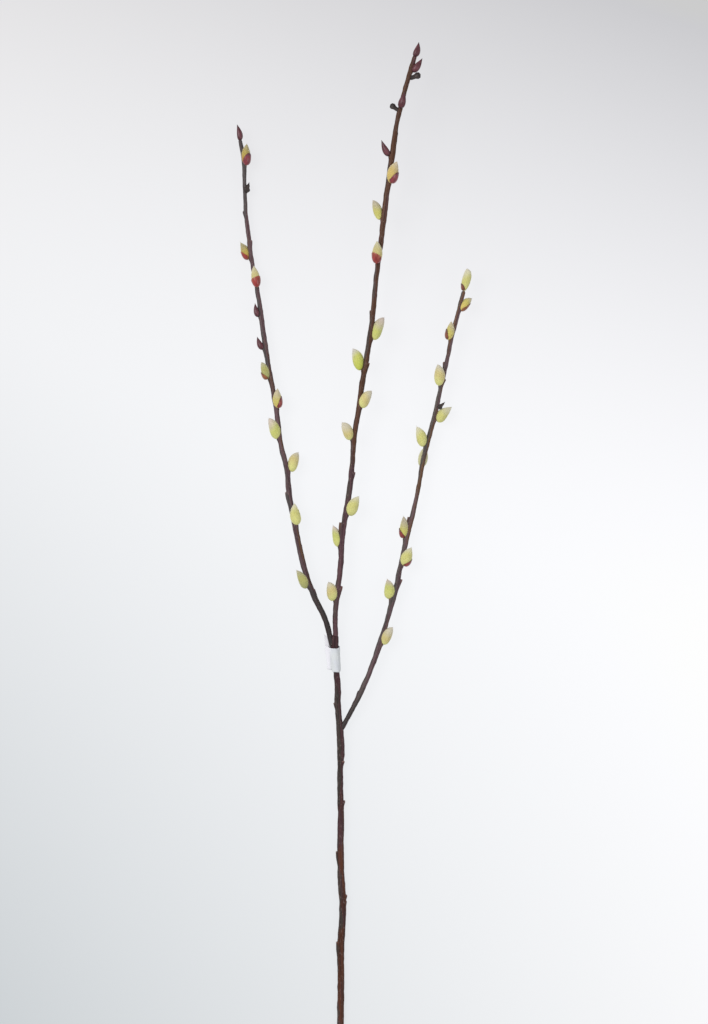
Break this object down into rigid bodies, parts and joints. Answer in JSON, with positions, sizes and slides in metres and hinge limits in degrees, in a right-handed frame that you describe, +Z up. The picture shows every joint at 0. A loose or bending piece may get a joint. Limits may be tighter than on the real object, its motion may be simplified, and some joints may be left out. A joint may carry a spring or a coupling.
{
  "type": "willow twig",
  "caption": "Cut willow twig that lies flat: a bare stem with a blank wrap label and forked shoots set with pointed catkins, closed buds and bark spurs.",
  "frame": {"origin": "middle of the footprint, on the surface that the twig lies on", "axes": "+Y along the twig from its cut end to its tips, +Z up from the surface, +X to the right as seen from above with the tips ahead"},
  "size_m": [0.2348, 1.0169, 0.0472],
  "materials": {
    "bark": "satin maroon-brown bark with lengthwise wrinkles",
    "catkin": "pale yellow-green, silky and matt",
    "cup_scale": "glossy crimson bud scale",
    "bud": "satin maroon closed bud",
    "cut_wood": "pale sawn end grain",
    "label_paper": "matt white paper"
  },
  "bodies": {
    "root": {"main_stem": "bark", "middle_shoot": "bark", "left_shoot": "bark", "right_shoot": "bark", "label": "label_paper"}
  },
  "joints": []
}
